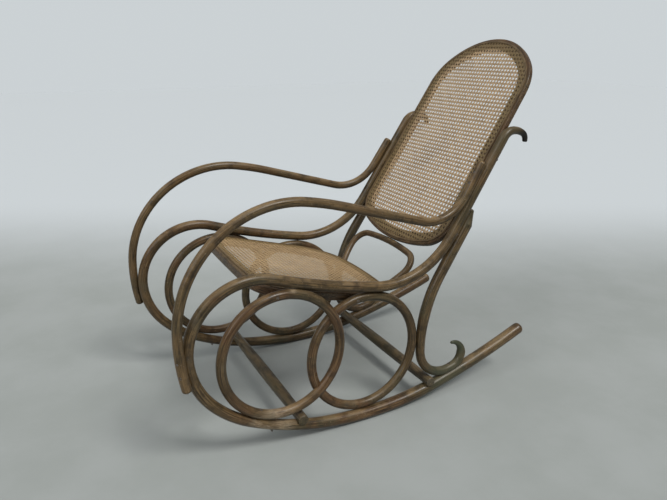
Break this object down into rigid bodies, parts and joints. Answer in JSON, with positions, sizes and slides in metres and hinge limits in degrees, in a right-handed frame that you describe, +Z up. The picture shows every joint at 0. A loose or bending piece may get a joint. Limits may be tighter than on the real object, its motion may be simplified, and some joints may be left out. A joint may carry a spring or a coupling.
{
  "type": "rocking chair",
  "caption": "Bentwood rocking chair: steam-bent round rods form curved runners, side loops with rings, scrolled legs and arms, around a woven cane seat and tall cane back.",
  "frame": {"origin": "on the floor, midway between the points where the two runners touch it", "axes": "+Z up; +Y towards the back of the chair, so that a sitter faces -Y; +X towards the sitter's left"},
  "size_m": [0.607, 1.158, 1.0349],
  "materials": {
    "bentwood": "worn satin varnish",
    "frame_wood": "worn satin varnish",
    "cane": "aged natural cane",
    "reed": "aged reed",
    "screw_steel": "dull, darkened"
  },
  "bodies": {
    "root": {"side_loop_left": "bentwood", "side_loop_right": "bentwood", "runner_left": "bentwood", "runner_right": "bentwood", "armrest_left": "bentwood", "armrest_right": "bentwood", "ring_front_left": "bentwood", "ring_front_right": "bentwood", "ring_rear_left": "bentwood", "ring_rear_right": "bentwood", "rear_leg_left": "bentwood", "rear_leg_right": "bentwood", "stretcher_front": "bentwood", "stretcher_rear": "bentwood", "back_brace": "bentwood", "seat_frame": "frame_wood", "back_frame": "frame_wood", "seat_cane": "cane", "back_cane": "cane", "seat_spline": "reed", "back_spline": "reed", "arm_screws": "screw_steel", "ring_screws": "screw_steel", "leg_screws": "screw_steel", "scarf_screws": "screw_steel", "stretcher_screws": "screw_steel", "seat_screws": "screw_steel", "back_screws": "screw_steel", "brace_screws": "screw_steel"}
  },
  "joints": []
}
